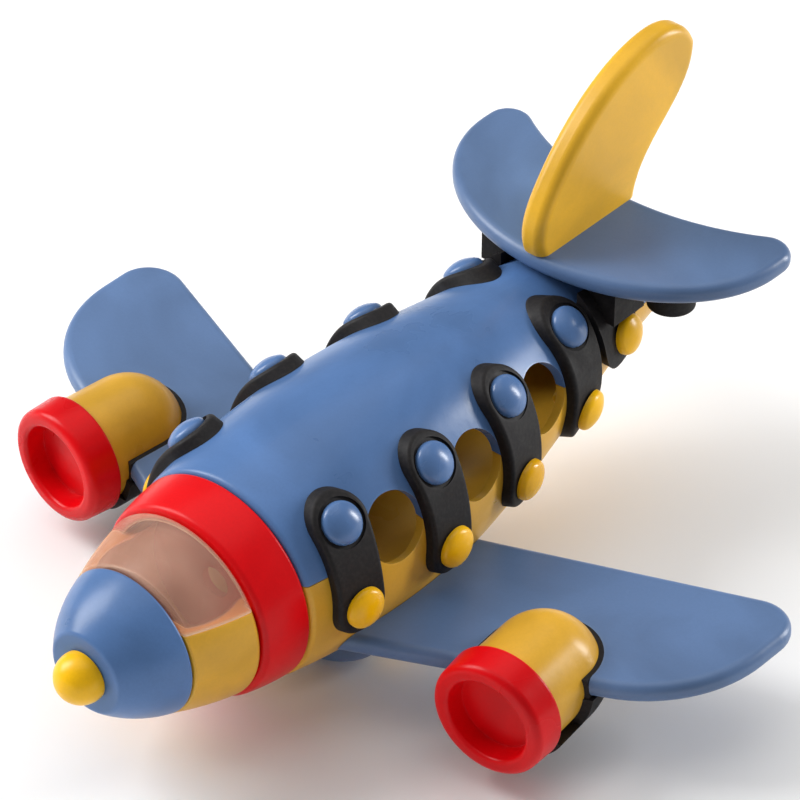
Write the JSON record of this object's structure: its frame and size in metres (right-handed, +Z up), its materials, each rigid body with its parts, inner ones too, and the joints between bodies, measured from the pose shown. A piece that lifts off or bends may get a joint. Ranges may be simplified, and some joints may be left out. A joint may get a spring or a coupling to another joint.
{
  "type": "toy airplane",
  "caption": "Snap-together toy jet: two-colour fuselage joined by rubber straps and mushroom pins, clear windscreen, turning nose cone and engine inlets, swept wing, crescent tailplane and fin.",
  "frame": {"origin": "middle of the bottom of the bounding box, on the surface the flat belly keel rests on", "axes": "+Z up, nose towards -Y, port wing towards +X"},
  "size_m": [0.2108, 0.2195, 0.1094],
  "materials": {
    "blue_plastic": "satin moulded, medium blue",
    "yellow_plastic": "satin moulded, mustard yellow",
    "pin_yellow_plastic": "semi-gloss moulded, bright yellow",
    "red_plastic": "satin-gloss moulded, red",
    "black_rubber": "matte moulded rubber, near black",
    "clear_plastic": "clear, faintly amber moulded plastic"
  },
  "bodies": {
    "airframe": {"lower_shell": "yellow_plastic", "upper_shell": "blue_plastic", "collar_ring": "red_plastic", "cockpit_tub": "yellow_plastic", "windscreen": "clear_plastic", "nose_plug": "black_rubber", "nose_pin": "pin_yellow_plastic", "wing": "blue_plastic", "tailplane": "blue_plastic", "fin": "yellow_plastic", "tail_seat": "black_rubber", "strap_port_1": "black_rubber", "upper_pin_port_1": "blue_plastic", "lower_pin_port_1": "pin_yellow_plastic", "strap_port_2": "black_rubber", "upper_pin_port_2": "blue_plastic", "lower_pin_port_2": "pin_yellow_plastic", "strap_port_3": "black_rubber", "upper_pin_port_3": "blue_plastic", "lower_pin_port_3": "pin_yellow_plastic", "strap_port_4": "black_rubber", "upper_pin_port_4": "blue_plastic", "lower_pin_port_4": "pin_yellow_plastic", "tail_bracket_port": "black_rubber", "tail_pin_port": "pin_yellow_plastic", "pod_port": "yellow_plastic", "cradle_port": "black_rubber", "cradle_pin_port": "pin_yellow_plastic", "strap_starboard_1": "black_rubber", "upper_pin_starboard_1": "blue_plastic", "lower_pin_starboard_1": "pin_yellow_plastic", "strap_starboard_2": "black_rubber", "upper_pin_starboard_2": "blue_plastic", "lower_pin_starboard_2": "pin_yellow_plastic", "strap_starboard_3": "black_rubber", "upper_pin_starboard_3": "blue_plastic", "lower_pin_starboard_3": "pin_yellow_plastic", "strap_starboard_4": "black_rubber", "upper_pin_starboard_4": "blue_plastic", "lower_pin_starboard_4": "pin_yellow_plastic", "tail_bracket_starboard": "black_rubber", "tail_pin_starboard": "pin_yellow_plastic", "pod_starboard": "yellow_plastic", "cradle_starboard": "black_rubber", "cradle_pin_starboard": "pin_yellow_plastic", "belly_pin_1": "pin_yellow_plastic", "belly_pin_2": "pin_yellow_plastic", "belly_pin_3": "pin_yellow_plastic", "belly_pin_4": "pin_yellow_plastic"},
    "nose_cone": {"nose_cone": "blue_plastic"},
    "inlet_port": {"inlet_port": "red_plastic"},
    "inlet_starboard": {"inlet_starboard": "red_plastic"}
  },
  "joints": [
    {"name": "nose_cone_spin", "type": "hinge", "parent": "airframe", "child": "nose_cone", "pos_m": [0, -0.0944, 0.0346], "axis": [0, 1, 0], "continuous": true},
    {"name": "inlet_port_spin", "type": "hinge", "parent": "airframe", "child": "inlet_port", "pos_m": [0.0685, -0.0439, 0.0216], "axis": [-0.1028, 0.9947, 0], "continuous": true},
    {"name": "inlet_starboard_spin", "type": "hinge", "parent": "airframe", "child": "inlet_starboard", "pos_m": [-0.0685, -0.0439, 0.0216], "axis": [0.1028, 0.9947, 0], "continuous": true}
  ]
}
